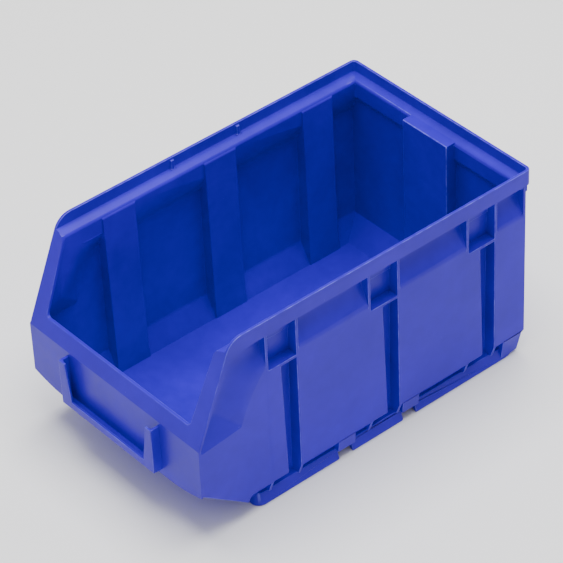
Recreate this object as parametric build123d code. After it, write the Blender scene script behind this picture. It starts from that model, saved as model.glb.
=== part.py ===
from build123d import *
import os

# Open-fronted stacking storage bin, one injection moulding, divided here into its named zones.
# Millimetres. X is the width, +Y points to the rear, +Z is up.
# The origin is at the centre of the footprint, on the surface that the bin stands on.

# ---- overall ------------------------------------------------------------------------------
WIDTH = 148.0
HEIGHT = 130.0
REAR_Y = 125.0
HOLDER_Y = -125.0
WALL = 1.8

# ---- rim: upright lip, and the ledge inside it that carries the next bin ------------------
RIM_X = WIDTH / 2
LIP_X = RIM_X - WALL
BAND_TOP_Z = 120.0
LEDGE_LIP_Z = 123.0
LEDGE_LOW_Z = 121.2
LEDGE_EDGE_Z = 121.6
LEDGE_EDGE_RUN = 1.6
RIM_FRONT_R = 12.0
RIM_REAR_R = 3.5

# ---- side wall section: inset band, slope out to the panel, slope in to the floor ----------
BAND_X = 65.6
BAND_Z = 110.4
PANEL_X = 71.2
PANEL_TOP_Z = 99.0
RAMP_TOP_Z = 22.5
OUTER_X = PANEL_X + WALL
UNDERCUT_Z = 15.0
UNDERCUT_X = 69.0
TOE_X = 67.0
FLOOR_X = 63.4
FLOOR_Z = 8.8
FLOOR_LOW_Z = 6.8

# ---- posts that stand in from the side walls, each with a pocket and a channel outside -----
POST_Y = {"front": -58.0, "middle": 15.0, "rear": 88.0}
POST_HALF = 11.6
SHELF_Z = 94.5
COVER_TOP = -1.4
COVER_LOW = 0.8
GUSSET_X = 70.0

# ---- front --------------------------------------------------------------------------------
FRONT_Y = -119.0
FOLD_Z = 68.0
RIM_FRONT_Y = -93.2
SLOPE = (RIM_FRONT_Y - FRONT_Y) / (HEIGHT - FOLD_Z)
FLANGE_DEPTH = 2.0
FLANGE_LOW_X = 62.0
FLANGE_TOP_X = 66.3
LIP_TOP_Z = 77.0
FRONT_IN_Y = FRONT_Y + WALL
FRONT_LOW_Z = 30.3
FRONT_CORNER_Z = 34.8
FRONT_ARC_X = 45.0
FLOOR_FRONT_Y = -81.4
CREASE_Y = -88.3
RECESS_Z = 81.0
RECESS_BAND = 8.0
RECESS_CURVE = ((-78.0, 87.5), (-84.5, 76.5))

# ---- label holder on the front wall ---------------------------------------------------------
HOLDER_X = 40.5
HOLDER_LOW_Z = 34.5
HOLDER_TOP_Z = 65.0
HOLDER_WALL = 1.5
HOLDER_LIP_LOW_X = 31.8
HOLDER_LIP_TOP_X = 35.5
HOLDER_LIP_Z = 39.2

# ---- rear -----------------------------------------------------------------------------------
REAR_OUT_Y = 121.5
REAR_IN_Y = REAR_OUT_Y - WALL
REAR_BAND_Y = 117.7
REAR_RAMP_Z = 21.4
REAR_FLOOR_Y = 107.1
REAR_POST_Y = 111.8
REAR_POST_HALF = 18.5
HOOK_Z = 112.3
HOOK_TAPER_Z = 119.0
HOOK_TAPER = 2.0

# ---- foot ring under the floor, and the pips on the rim that fit the gaps in it -----------
FOOT_X = 71.0
FOOT_FRONT_Y = -79.0
FOOT_REAR_Y = 119.1
FOOT_FRONT_R = 6.0
FOOT_REAR_R = 10.0
FOOT_EDGE_Z = 1.2
FOOT_INSET = 2.2
FOOT_LIP = 2.6
FOOT_TOP_LIP = 6.0
FOOT_MIN_R = 1.5
REAR_WEB_OUT_Y = 117.0
REAR_WEB_IN_Y = REAR_WEB_OUT_Y - WALL
PIP_Y = (-14.0, 34.0)
NOTCH_HALF = 5.0
PIP_WIDTH = 2.2
PIP_DEPTH = 1.2
PIP_TOP_Z = 128.5


# ---- helpers ----------------------------------------------------------------------------------
def prism_x(points, x0, x1):
    """Solid with an outline of (y, z) points, from x0 to x1."""
    outline = Polyline(*[(x0, y, z) for y, z in points], close=True)
    return extrude(make_face(outline), amount=x1 - x0, dir=(1, 0, 0))


def prism_y(points, y0, y1):
    """Solid with an outline of (x, z) points, from y0 to y1."""
    outline = Polyline(*[(x, y0, z) for x, z in points], close=True)
    return extrude(make_face(outline), amount=y1 - y0, dir=(0, 1, 0))


def block(x0, x1, y0, y1, z0, z1):
    """Box between two corners."""
    return Pos((x0 + x1) / 2, (y0 + y1) / 2, (z0 + z1) / 2) * Box(x1 - x0, y1 - y0, z1 - z0)


def skin(points):
    """Flat piece of side wall with (x, y, z) points on its outer face."""
    face = make_face(Polyline(*points, close=True))
    return extrude(face, amount=WALL, dir=(-1, 0, 0))


def slope_y(z):
    """Y of the sloping front face of the flanges at height z."""
    return FRONT_Y + SLOPE * (z - FOLD_Z)


def side_x(y):
    """X of the outer face at the front corner, which widens from the crease to the front wall."""
    return OUTER_X + (RIM_X - OUTER_X) * (CREASE_Y - y) / (CREASE_Y - FRONT_Y)


def side_low_z(y):
    """Height of the lower edge of the side at the front corner, along the sloping underside."""
    return FRONT_CORNER_Z - (FRONT_CORNER_Z - FLOOR_LOW_Z) * (y - FRONT_IN_Y) / (FLOOR_FRONT_Y - FRONT_IN_Y)


def slope_slab(z0, z1):
    """Full-width slab of the sloping front plane between two heights."""
    points = [(slope_y(z0), z0), (slope_y(z1), z1),
              (slope_y(z1) + FLANGE_DEPTH, z1), (slope_y(z0) + FLANGE_DEPTH, z0)]
    return prism_x(points, -RIM_X, RIM_X)


def rear_corners():
    """Column of space inside the outline of the rim, with its two rounded rear corners."""
    outline = Rectangle(WIDTH, REAR_Y - HOLDER_Y)
    outline = fillet(outline.vertices().group_by(Axis.Y)[-1], RIM_REAR_R)
    return extrude(outline, amount=HEIGHT)


# ---- rim --------------------------------------------------------------------------------------
def rim_lip():
    points = [(slope_y(BAND_TOP_Z), BAND_TOP_Z), (RIM_FRONT_Y, HEIGHT),
              (REAR_Y - WALL, HEIGHT), (REAR_Y - WALL, BAND_TOP_Z)]
    lip = prism_x(points, LIP_X, RIM_X)
    corner = lip.edges().filter_by(Axis.X).group_by(Axis.Z)[-1].sort_by(Axis.Y)[0]
    return fillet(corner, RIM_FRONT_R) & rear_corners()


def ledge_strip(y0, y1):
    """Ledge along the right side, between two y."""
    points = [(LIP_X, LEDGE_LIP_Z), (BAND_X + LEDGE_EDGE_RUN, LEDGE_EDGE_Z), (BAND_X, BAND_TOP_Z),
              (BAND_X + WALL, BAND_TOP_Z), (LIP_X, LEDGE_LOW_Z)]
    return prism_y(points, y0, y1)


def rim_ledge():
    ahead = prism_x([(slope_y(0), 0), (slope_y(HEIGHT), HEIGHT), (FRONT_Y, HEIGHT)], 0, RIM_X)
    return ledge_strip(slope_y(BAND_TOP_Z), REAR_BAND_Y) - ahead


def rear_rim_lip():
    points = [(-RIM_X, HOOK_TAPER_Z), (-RIM_X, HEIGHT), (RIM_X, HEIGHT), (RIM_X, HOOK_TAPER_Z),
              (RIM_X - HOOK_TAPER, HOOK_Z), (HOOK_TAPER - RIM_X, HOOK_Z)]
    return prism_y(points, REAR_Y - WALL, REAR_Y) & rear_corners()


def rear_rim_ledge():
    lip_y = REAR_Y - WALL
    points = [(lip_y, LEDGE_LIP_Z), (REAR_BAND_Y + LEDGE_EDGE_RUN, LEDGE_EDGE_Z),
              (REAR_BAND_Y, BAND_TOP_Z), (REAR_OUT_Y, BAND_TOP_Z), (lip_y, LEDGE_LOW_Z)]
    corner = ledge_strip(REAR_BAND_Y, lip_y)
    ledge = prism_x(points, -LIP_X, LIP_X) + corner + mirror(corner, about=Plane.YZ)
    return ledge + block(-REAR_POST_HALF, REAR_POST_HALF, REAR_POST_Y, REAR_BAND_Y + LEDGE_EDGE_RUN,
                         BAND_TOP_Z, LEDGE_EDGE_Z)


def stacking_pip(y, ledge):
    pip = block(LIP_X - PIP_DEPTH, LIP_X, y - PIP_WIDTH / 2, y + PIP_WIDTH / 2, LEDGE_EDGE_Z, PIP_TOP_Z)
    return (pip - ledge).solids().sort_by(Axis.Z)[-1]


# ---- side walls -------------------------------------------------------------------------------
def side_panel(y0, y1):
    """Side wall between two posts."""
    points = [(BAND_X, BAND_TOP_Z), (BAND_X, BAND_Z), (PANEL_X, PANEL_TOP_Z), (PANEL_X, RAMP_TOP_Z),
              (FLOOR_X, FLOOR_Z), (FLOOR_X, FLOOR_LOW_Z), (TOE_X, FLOOR_LOW_Z),
              (UNDERCUT_X, UNDERCUT_Z), (OUTER_X, UNDERCUT_Z), (OUTER_X, PANEL_TOP_Z),
              (BAND_X + WALL, BAND_Z), (BAND_X + WALL, BAND_TOP_Z)]
    return prism_y(points, y0, y1)


def post_face(y):
    return block(FLOOR_X, BAND_X, y - POST_HALF, y + POST_HALF, FLOOR_LOW_Z, BAND_TOP_Z)


def post_rib(y0):
    """Thin rib from the post face out to the face of the side wall, down to the foot."""
    points = [(BAND_X, FLOOR_LOW_Z), (GUSSET_X, FLOOR_LOW_Z), (OUTER_X, UNDERCUT_Z),
              (OUTER_X, BAND_TOP_Z), (LIP_X, BAND_TOP_Z), (LIP_X, LEDGE_LOW_Z),
              (BAND_X + WALL, BAND_TOP_Z), (BAND_X, BAND_TOP_Z)]
    return prism_y(points, y0, y0 + WALL)


def post_front_rib(y):
    """Front rib of a post, with the strip that covers the front half of the channel."""
    y0 = y - POST_HALF
    cover = skin([(OUTER_X, y0 + WALL, UNDERCUT_Z), (OUTER_X, y0 + WALL, SHELF_Z - WALL),
                  (OUTER_X, y + COVER_TOP, SHELF_Z - WALL), (OUTER_X, y + COVER_LOW, UNDERCUT_Z)])
    return post_rib(y0) + cover


def post_rear_rib(y):
    """Rear rib of a post, with the shelf that parts the pocket above from the channel below."""
    shelf = block(BAND_X, OUTER_X, y - POST_HALF + WALL, y + POST_HALF - WALL, SHELF_Z - WALL, SHELF_Z)
    return post_rib(y + POST_HALF - WALL) + shelf


# ---- front corner of each side ----------------------------------------------------------------
def recess_points():
    """Corners of the recess behind the flange, on the outer face: band line, then panel line."""
    y_end = POST_Y["front"] - POST_HALF
    x_band = BAND_X + WALL
    y_low = slope_y(RECESS_Z) + FLANGE_DEPTH + RECESS_BAND
    y_high = slope_y(BAND_Z) + FLANGE_DEPTH + RECESS_BAND
    band = [(x_band, y_end, BAND_Z), (x_band, y_high, BAND_Z), (x_band, y_low, RECESS_Z)]
    panel = [(OUTER_X, y_end, PANEL_TOP_Z)]
    panel += [(OUTER_X, y, z) for y, z in RECESS_CURVE]
    panel += [(OUTER_X, CREASE_Y, FOLD_Z - 1.0)]
    return band, panel


def front_shoulder(flange):
    """Side wall behind the flange: inset band, and the hollow that runs out to the flush side."""
    band, panel = recess_points()
    x_band = BAND_X + WALL
    corner = (side_x(FRONT_IN_Y), FRONT_IN_Y, FOLD_Z - 3.0)
    flange_low = (x_band, slope_y(RECESS_Z) + FLANGE_DEPTH, RECESS_Z)
    flange_high = (x_band, slope_y(BAND_TOP_Z) + FLANGE_DEPTH, BAND_TOP_Z)
    end_high = (x_band, band[0][1], BAND_TOP_Z)
    flange_fold = (side_x(FRONT_IN_Y), FRONT_Y + FLANGE_DEPTH, FOLD_Z)
    facets = [[flange_low, flange_high, end_high, band[0], band[1], band[2]],
              [band[0], panel[0], band[1]], [band[1], panel[0], panel[1]],
              [band[1], panel[1], band[2]], [band[2], panel[1], panel[2]],
              [band[2], panel[2], panel[3]], [band[2], panel[3], flange_low],
              [flange_low, panel[3], corner], [flange_low, corner, flange_fold]]
    return Part() + [skin(facet) for facet in facets] - flange


def front_side_panel(underside):
    """Flush side at the front corner, the panel behind its crease, and the slope to the floor."""
    recess = recess_points()[1]
    y_end = POST_Y["front"] - POST_HALF
    y_step = FLOOR_FRONT_Y - 5.0
    flush = skin([(side_x(FRONT_IN_Y), FRONT_IN_Y, FOLD_Z - 3.0), recess[-1],
                  (OUTER_X, CREASE_Y, side_low_z(CREASE_Y)),
                  (side_x(FRONT_IN_Y), FRONT_IN_Y, side_low_z(FRONT_IN_Y))])
    panel = skin(recess + [(OUTER_X, CREASE_Y, side_low_z(CREASE_Y)), (OUTER_X, y_step, side_low_z(y_step)),
                           (OUTER_X, y_step + WALL, UNDERCUT_Z), (OUTER_X, y_end, UNDERCUT_Z)])
    wedge = prism_y([(PANEL_X, RAMP_TOP_Z), (FLOOR_X, FLOOR_Z), (FLOOR_X, FLOOR_LOW_Z),
                     (PANEL_X, FLOOR_LOW_Z)], FRONT_IN_Y, FLOOR_FRONT_Y)
    ramp = prism_y([(PANEL_X, RAMP_TOP_Z), (FLOOR_X, FLOOR_Z), (FLOOR_X, FLOOR_LOW_Z),
                    (TOE_X, FLOOR_LOW_Z), (UNDERCUT_X, UNDERCUT_Z), (PANEL_X, UNDERCUT_Z)],
                   FLOOR_FRONT_Y, y_end)
    below = prism_x([(FRONT_IN_Y, FRONT_CORNER_Z), (FLOOR_FRONT_Y, FLOOR_LOW_Z), (FRONT_IN_Y, FLOOR_LOW_Z)],
                    0, PANEL_X)
    solid = flush + panel + ramp + (wedge - below) - underside
    return solid.solids().sort_by(SortBy.VOLUME)[-1]


def front_flange():
    """Sloping flange from the front end of the rim down to the fold above the front wall."""
    points = [(FLANGE_LOW_X, FOLD_Z), (RIM_X, FOLD_Z), (RIM_X, BAND_TOP_Z), (LIP_X, BAND_TOP_Z),
              (LIP_X, LEDGE_LOW_Z), (BAND_X + WALL, BAND_TOP_Z), (FLANGE_TOP_X, BAND_TOP_Z)]
    return prism_y(points, FRONT_Y, RIM_FRONT_Y) & slope_slab(FOLD_Z, HEIGHT)


# ---- front wall and floor -----------------------------------------------------------------------
def front_edge(y, z, half, z_corner):
    """Lower edge across the front: straight in the middle, curving up to each corner."""
    middle = Line((-FRONT_ARC_X, y, z), (FRONT_ARC_X, y, z))
    if z_corner == z:
        right = Line((FRONT_ARC_X, y, z), (half, y, z))
        left = Line((-FRONT_ARC_X, y, z), (-half, y, z))
    else:
        right = TangentArc((FRONT_ARC_X, y, z), (half, y, z_corner), tangent=(1, 0, 0))
        left = TangentArc((-FRONT_ARC_X, y, z), (-half, y, z_corner), tangent=(-1, 0, 0))
    return [middle, right, left]


def front_wall():
    edge = front_edge(FRONT_Y, FRONT_LOW_Z, RIM_X, FRONT_CORNER_Z)
    rest = Polyline((RIM_X, FRONT_Y, FRONT_CORNER_Z), (RIM_X, FRONT_Y, FOLD_Z),
                    (-RIM_X, FRONT_Y, FOLD_Z), (-RIM_X, FRONT_Y, FRONT_CORNER_Z))
    return extrude(make_face(edge + [rest]), amount=WALL, dir=(0, 1, 0))


def front_lip():
    """Sloping lip above the fold, between the feet of the two flanges."""
    x_top = FLANGE_LOW_X + (FLANGE_TOP_X - FLANGE_LOW_X) * (LIP_TOP_Z - FOLD_Z) / (BAND_TOP_Z - FOLD_Z)
    points = [(-FLANGE_LOW_X, FOLD_Z), (FLANGE_LOW_X, FOLD_Z), (x_top, LIP_TOP_Z), (-x_top, LIP_TOP_Z)]
    return prism_y(points, FRONT_Y, RIM_FRONT_Y) & slope_slab(FOLD_Z, LIP_TOP_Z)


def front_underside():
    """Sloping underside from the foot of the front wall down to the floor."""
    sections = []
    depth = FLOOR_Z - FLOOR_LOW_Z
    for y, z, z_corner in ((FRONT_IN_Y, FRONT_LOW_Z, FRONT_CORNER_Z),
                           (FLOOR_FRONT_Y, FLOOR_LOW_Z, FLOOR_LOW_Z)):
        half = side_x(y) - WALL if y < CREASE_Y else PANEL_X
        low = front_edge(y, z, half, z_corner)
        top = front_edge(y, z + depth, half, z_corner + depth)
        ends = [Line((s * half, y, z_corner), (s * half, y, z_corner + depth)) for s in (1, -1)]
        sections.append(make_face(low + top + ends))
    return loft(sections, ruled=True)


def floor_plate():
    return block(-FLOOR_X, FLOOR_X, FLOOR_FRONT_Y, REAR_FLOOR_Y, FLOOR_LOW_Z, FLOOR_Z)


# ---- label holder ---------------------------------------------------------------------------------
def holder_side():
    lip = prism_y([(HOLDER_X, HOLDER_LOW_Z), (HOLDER_X, HOLDER_TOP_Z), (HOLDER_LIP_TOP_X, HOLDER_TOP_Z),
                   (HOLDER_LIP_LOW_X, HOLDER_LIP_Z), (HOLDER_LIP_LOW_X, HOLDER_LOW_Z)],
                  HOLDER_Y, HOLDER_Y + HOLDER_WALL)
    return lip + block(HOLDER_X - HOLDER_WALL, HOLDER_X, HOLDER_Y + HOLDER_WALL, FRONT_Y,
                       HOLDER_LOW_Z, HOLDER_TOP_Z)


def holder_bottom():
    inner = HOLDER_X - HOLDER_WALL
    lip = block(-HOLDER_LIP_LOW_X, HOLDER_LIP_LOW_X, HOLDER_Y, HOLDER_Y + HOLDER_WALL,
                HOLDER_LOW_Z, HOLDER_LIP_Z)
    return lip + block(-inner, inner, HOLDER_Y + HOLDER_WALL, FRONT_Y,
                       HOLDER_LOW_Z, HOLDER_LOW_Z + HOLDER_WALL)


# ---- rear wall ------------------------------------------------------------------------------------
def rear_panel():
    """Half of the rear wall, from the rear post to the corner of the bin."""
    plate = block(REAR_POST_HALF, OUTER_X, REAR_IN_Y, REAR_OUT_Y, UNDERCUT_Z, BAND_TOP_Z)
    band = prism_x([(REAR_IN_Y, BAND_TOP_Z), (REAR_BAND_Y, BAND_TOP_Z), (REAR_BAND_Y, BAND_Z),
                    (REAR_IN_Y, BAND_Z - 4.0)], REAR_POST_HALF, BAND_X)
    return plate + band


def rear_ramp(side_panels):
    """Slope from the rear wall down to the floor, with the rear wall's lower edge."""
    drop = REAR_WEB_IN_Y - REAR_FLOOR_Y - 0.5
    points = [(REAR_IN_Y, REAR_RAMP_Z), (REAR_FLOOR_Y, FLOOR_Z), (REAR_FLOOR_Y, FLOOR_LOW_Z),
              (REAR_FLOOR_Y + 0.5, FLOOR_LOW_Z), (REAR_WEB_IN_Y, FLOOR_LOW_Z + drop),
              (REAR_WEB_IN_Y, UNDERCUT_Z), (REAR_IN_Y, UNDERCUT_Z)]
    sill = [(REAR_IN_Y, UNDERCUT_Z), (REAR_OUT_Y, UNDERCUT_Z), (REAR_OUT_Y, REAR_RAMP_Z),
            (REAR_IN_Y, REAR_RAMP_Z)]
    ramp = prism_x(points, -PANEL_X, PANEL_X) + prism_x(sill, -REAR_POST_HALF, REAR_POST_HALF)
    return (ramp - side_panels).solids().sort_by(SortBy.VOLUME)[-1]


def rear_post(ramp):
    """Post in the middle of the rear wall: its face and the two cheeks behind it."""
    half = REAR_POST_HALF
    post = block(-half, half, REAR_POST_Y, REAR_POST_Y + WALL, FLOOR_Z, BAND_TOP_Z)
    for x0 in (-half, half - WALL):
        post += block(x0, x0 + WALL, REAR_POST_Y + WALL, REAR_OUT_Y, FLOOR_Z, BAND_TOP_Z)
    above = prism_x([(REAR_FLOOR_Y, FLOOR_Z), (REAR_IN_Y, REAR_RAMP_Z), (REAR_OUT_Y, REAR_RAMP_Z),
                     (REAR_OUT_Y, 0), (REAR_FLOOR_Y, 0)], -half, half)
    return post - above


# ---- foot ring --------------------------------------------------------------------------------------
def foot_plan(inset, z):
    """Plan of the foot ring at height z, drawn in by an inset."""
    outline = Polyline((-FOOT_X + inset, FOOT_FRONT_Y + inset, z), (FOOT_X - inset, FOOT_FRONT_Y + inset, z),
                       (FOOT_X - inset, FOOT_REAR_Y - inset, z), (-FOOT_X + inset, FOOT_REAR_Y - inset, z),
                       close=True)
    face = make_face(outline)
    face = fillet(face.vertices().group_by(Axis.Y)[0], max(FOOT_FRONT_R - inset, FOOT_MIN_R))
    return fillet(face.vertices().group_by(Axis.Y)[-1], FOOT_REAR_R - inset)


def foot_ring():
    outer = extrude(foot_plan(0, 0), amount=FOOT_EDGE_Z)
    outer += loft([foot_plan(0, FOOT_EDGE_Z), foot_plan(FOOT_INSET, FLOOR_LOW_Z)])
    return outer - loft([foot_plan(FOOT_LIP, 0), foot_plan(FOOT_TOP_LIP, FLOOR_LOW_Z)])


def foot_part(ring, y0, y1, x0=0.0, x1=WIDTH):
    return ring & block(x0, x1, y0, y1, 0, FLOOR_LOW_Z)


# ---- all zones ------------------------------------------------------------------------------------------
def build():
    nodes = {}
    underside = front_underside()
    flange = front_flange()
    ledge = rim_ledge()
    panel_ends = {"front": (POST_Y["front"] + POST_HALF, POST_Y["middle"] - POST_HALF),
                  "middle": (POST_Y["middle"] + POST_HALF, POST_Y["rear"] - POST_HALF),
                  "rear": (POST_Y["rear"] + POST_HALF, REAR_IN_Y)}
    half = {
        "rim_lip": rim_lip(),
        "rim_ledge": ledge,
        "front_flange": flange,
        "front_shoulder": front_shoulder(flange),
        "front_corner_panel": front_side_panel(underside),
        "label_holder_side": holder_side(),
        "rear_panel": rear_panel(),
    }
    for where, (y0, y1) in panel_ends.items():
        half[f"side_panel_{where}"] = side_panel(y0, y1)
    for where, y in POST_Y.items():
        half[f"post_{where}_face"] = post_face(y)
        half[f"post_{where}_front_rib"] = post_front_rib(y)
        half[f"post_{where}_rear_rib"] = post_rear_rib(y)
    for where, y in zip(("front", "rear"), PIP_Y):
        half[f"stacking_pip_{where}"] = stacking_pip(y, ledge)

    ring = foot_ring()
    front_end = FOOT_FRONT_Y + FOOT_FRONT_R
    rear_end = FOOT_REAR_Y - FOOT_REAR_R
    half["foot_rail_front"] = foot_part(ring, front_end, PIP_Y[0] - NOTCH_HALF)
    half["foot_rail_middle"] = foot_part(ring, PIP_Y[0] + NOTCH_HALF, PIP_Y[1] - NOTCH_HALF)
    half["foot_rail_rear"] = foot_part(ring, PIP_Y[1] + NOTCH_HALF, rear_end)

    for name, solid in half.items():
        nodes[f"{name}_right"] = solid
        nodes[f"{name}_left"] = mirror(solid, about=Plane.YZ)

    panel = half["side_panel_rear"]
    ramp = rear_ramp(panel + mirror(panel, about=Plane.YZ))
    web = block(-TOE_X, TOE_X, REAR_WEB_IN_Y, REAR_WEB_OUT_Y, FLOOR_LOW_Z, UNDERCUT_Z)
    nodes["rear_rim_lip"] = rear_rim_lip()
    nodes["rear_rim_ledge"] = rear_rim_ledge()
    nodes["rear_ramp"] = ramp
    nodes["rear_post"] = rear_post(ramp)
    nodes["front_wall"] = front_wall()
    nodes["front_lip"] = front_lip()
    nodes["front_underside"] = underside
    nodes["label_holder_bottom"] = holder_bottom()
    nodes["floor_plate"] = floor_plate()
    nodes["foot_front"] = foot_part(ring, FOOT_FRONT_Y, front_end, -WIDTH)
    nodes["foot_rear"] = foot_part(ring, rear_end, FOOT_REAR_Y, -WIDTH) + (
        web - panel - mirror(panel, about=Plane.YZ))
    return nodes


if __name__ == "__main__":
    os.makedirs("parts", exist_ok=True)
    for name, shape in build().items():
        export_step(shape, f"parts/{name}.step")
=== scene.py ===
import bpy
import bmesh
import math
from mathutils import Vector, Matrix
from mathutils.bvhtree import BVHTree
from mathutils.interpolate import poly_3d_calc
from mathutils.kdtree import KDTree


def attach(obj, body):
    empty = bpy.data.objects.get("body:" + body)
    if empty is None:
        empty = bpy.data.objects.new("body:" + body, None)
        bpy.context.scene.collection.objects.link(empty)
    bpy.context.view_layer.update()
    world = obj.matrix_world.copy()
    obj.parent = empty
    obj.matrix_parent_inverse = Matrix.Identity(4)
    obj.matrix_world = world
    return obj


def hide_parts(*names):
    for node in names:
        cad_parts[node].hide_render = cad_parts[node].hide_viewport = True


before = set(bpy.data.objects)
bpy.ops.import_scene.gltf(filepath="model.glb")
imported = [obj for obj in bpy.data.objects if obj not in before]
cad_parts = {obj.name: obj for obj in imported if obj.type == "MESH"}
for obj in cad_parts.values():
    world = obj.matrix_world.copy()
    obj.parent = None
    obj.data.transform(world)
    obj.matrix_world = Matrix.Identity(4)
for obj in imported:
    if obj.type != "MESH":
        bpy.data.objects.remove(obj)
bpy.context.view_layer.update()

MM = 0.001
SOLVER = "MANIFOLD"

# ---- sizes in millimetres; the CAD's own where it has them, except the two that are marked ------
HEIGHT = 130.0
REAR_Y = 125.0
HOLDER_Y = -125.0
WALL = 1.8
RIM_X = 74.0
LIP_X = RIM_X - WALL
BAND_TOP_Z = 120.0
LEDGE_LIP_Z = 123.0
LEDGE_LOW_Z = 121.2
LEDGE_EDGE_Z = 121.6
LEDGE_R = 2.2
RIM_FRONT_R = 12.0
RIM_REAR_R = 3.5
BAND_X = 65.6
BAND_Z = 110.4
PANEL_X = 71.2
PANEL_TOP_Z = 99.0
RAMP_TOP_Z = 22.5
OUTER_X = PANEL_X + WALL
UNDERCUT_Z = 15.0
UNDERCUT_X = 69.0
TOE_X = 67.0
FLOOR_X = 63.4
FLOOR_Z = 8.8
FLOOR_LOW_Z = 6.8
POST_Y = (-58.0, 15.0, 88.0)
POST_HALF = 11.6
POST_TOP_X = 64.5
POST_LOW_X = 62.7
POST_SKIN = 2.0
SHELF_Z = 94.5
COVER_TOP = -1.4
COVER_LOW = 0.8
GUSSET_X = 70.0
FRONT_Y = -119.0
FOLD_Z = 68.0
RIM_FRONT_Y = -93.2
SLOPE = (RIM_FRONT_Y - FRONT_Y) / (HEIGHT - FOLD_Z)
FLANGE_DEPTH = 2.0
FLANGE_LOW_X = 62.0
FLANGE_TOP_X = 64.8  # 66.3 in the CAD
LIP_TOP_Z = 77.0
FRONT_IN_Y = FRONT_Y + WALL
FRONT_LOW_Z = 30.3
FRONT_CORNER_Z = 34.8
FRONT_ARC_X = 45.0
ARC_STEPS = 6
FLOOR_FRONT_Y = -81.4
CREASE_Y = -88.3
RECESS_Z = 81.0
RECESS_BAND = 8.0
HOLDER_X = 40.5
HOLDER_LOW_Z = 34.5
HOLDER_TOP_Z = 65.0
HOLDER_WALL = 1.5
HOLDER_LIP_LOW_X = 31.8
HOLDER_LIP_TOP_X = 35.5
HOLDER_LIP_Z = 39.2
REAR_OUT_Y = 121.5
REAR_IN_Y = REAR_OUT_Y - WALL
REAR_BAND_Y = 117.7
REAR_BAND_RUN = 4.5
REAR_RAMP_Z = 21.4
REAR_FLOOR_Y = 107.1
REAR_POST_Y = 111.8
REAR_POST_HALF = 18.5
REAR_POST_LOW_Z = 13.8
HOOK_Z = 112.3
HOOK_END_X = 3.5
FOOT_X = 71.0
FOOT_FRONT_Y = -79.0
FOOT_REAR_Y = 119.1
FOOT_FRONT_R = 6.0
FOOT_REAR_R = 10.0
FOOT_EDGE_Z = 1.2
FOOT_INSET = 2.2
FOOT_LIP = 2.6
FOOT_TOP_LIP = 7.2  # 6.0 in the CAD
REAR_WEB_OUT_Y = 117.0
REAR_WEB_IN_Y = REAR_WEB_OUT_Y - WALL
PIP_Y = (-14.0, 34.0)
NOTCH_HALF = 5.0
NOTCH_TOP_Z = 6.2
HOOD_LOW_X = 71.8
CORNER_X = 68.0
CORNER_Y = 105.4
PIP_WIDTH = 2.2
PIP_DEPTH = 1.2
PIP_TOP_Z = 128.5

# ---- mesh making: widths and reaches in millimetres, angles in degrees ---------------------------
EDGE_R = 0.45
POST_EDGE_R = 1.2
REAR_POST_EDGE_R = 1.5
EDGE_ANGLE = 28.0
MERGE_BEFORE = 0.05
MERGE_AFTER = 0.02
MERGE_PIECE = 0.006
MAX_OFF = 0.45
FAULT_REACH = 0.8
BEVEL_TRIES = 5
CRUMB = 3.0
CRUMB_THICK = 0.05
SHARP_ANGLE = 55.0
NARROW = 0.9
TURN_FROM = 26.0
TURN_FULL = 42.0
TURN_MOST = 65.0
SAME_POINT = 1e-7
FLAT_FACE = 1e-10
FOLDED_OVER = -0.2
SPLINE_STEPS = 20
TUCK = 1.5
FAR_X = 90.0
INSIDE_X = 60.0
FOOT_FRONT_RUN = 6
FOOT_REAR_RUN = 10
POST_RUN = 20

# ---- finish, light and camera ----------------------------------------------------------------
DEEP_BLUE = (0.024, 0.0006, 0.42)
MID_BLUE = (0.028, 0.0008, 0.48)
PALE_BLUE = (0.033, 0.0012, 0.54)
# pale blues of rubbed edges, partly rubbing and partly painted highlight; the dust specks take them too
WEAR_AND_HIGHLIGHT_BLUE = (0.13, 0.13, 0.84)
WEAR_AND_HIGHLIGHT_PALE = (0.24, 0.25, 0.90)
FLOW_SCALE = 22.0
CLOUD_SCALE = 160.0
GRAIN_SCALE = 2600.0
SPECK_SCALE = 240.0
CHOSEN_SCALE = 95.0
PATCH_SCALE = 210.0
GRAIN_BUMP = (0.16, 0.00006)
FLOW_BUMP = (0.22, 0.0004)
FLOOR_GREY = 0.9
FLOOR_ROUGH = 0.9
FLOOR_HALF = 3000
FLOOR_DROP = 0.0003
SENSOR = 36.0
CAMERA_CLIP = (0.05, 20.0)
IOR = 1.49
GLOSS_LOW = 0.30
GLOSS_HIGH = 0.40
SHEEN = 0.18
WORLD_LIGHT = 0.5
LIGHTS = [("top", (0.0, 0.1, 1.6), (0.0, 0.0, 0.05), (1.3, 1.3), 44.0),
          ("key", (0.9, -0.5, 1.5), (0.0, 0.0, 0.05), (0.9, 0.9), 3.0),
          ("fill", (-1.2, -0.8, 1.0), (0.0, 0.0, 0.06), (1.2, 1.0), 3.0),
          ("back", (-0.4, 1.4, 1.3), (0.0, 0.0, 0.08), (1.2, 0.7), 5.0)]
CAMERA_ANGLES = (51.20, 39.17, -2.83)
CAMERA_TARGET = (0.0, 0.0, 0.060)
CAMERA_DISTANCE = 1.743
CAMERA_LENS = 197.97
CAMERA_SHIFT = (0.0048, 0.0375)


# ---- mesh helpers ----------------------------------------------------------------------------
def mesh_object(name, verts, faces):
    """Closed mesh object from points in millimetres, with its faces turned outwards."""
    mesh = bpy.data.meshes.new(name)
    mesh.from_pydata([[c * MM for c in v] for v in verts], [], faces)
    bm = bmesh.new()
    bm.from_mesh(mesh)
    bmesh.ops.remove_doubles(bm, verts=bm.verts, dist=SAME_POINT)
    bmesh.ops.recalc_face_normals(bm, faces=bm.faces)
    bm.to_mesh(mesh)
    bm.free()
    return bpy.data.objects.new(name, mesh)


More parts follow.
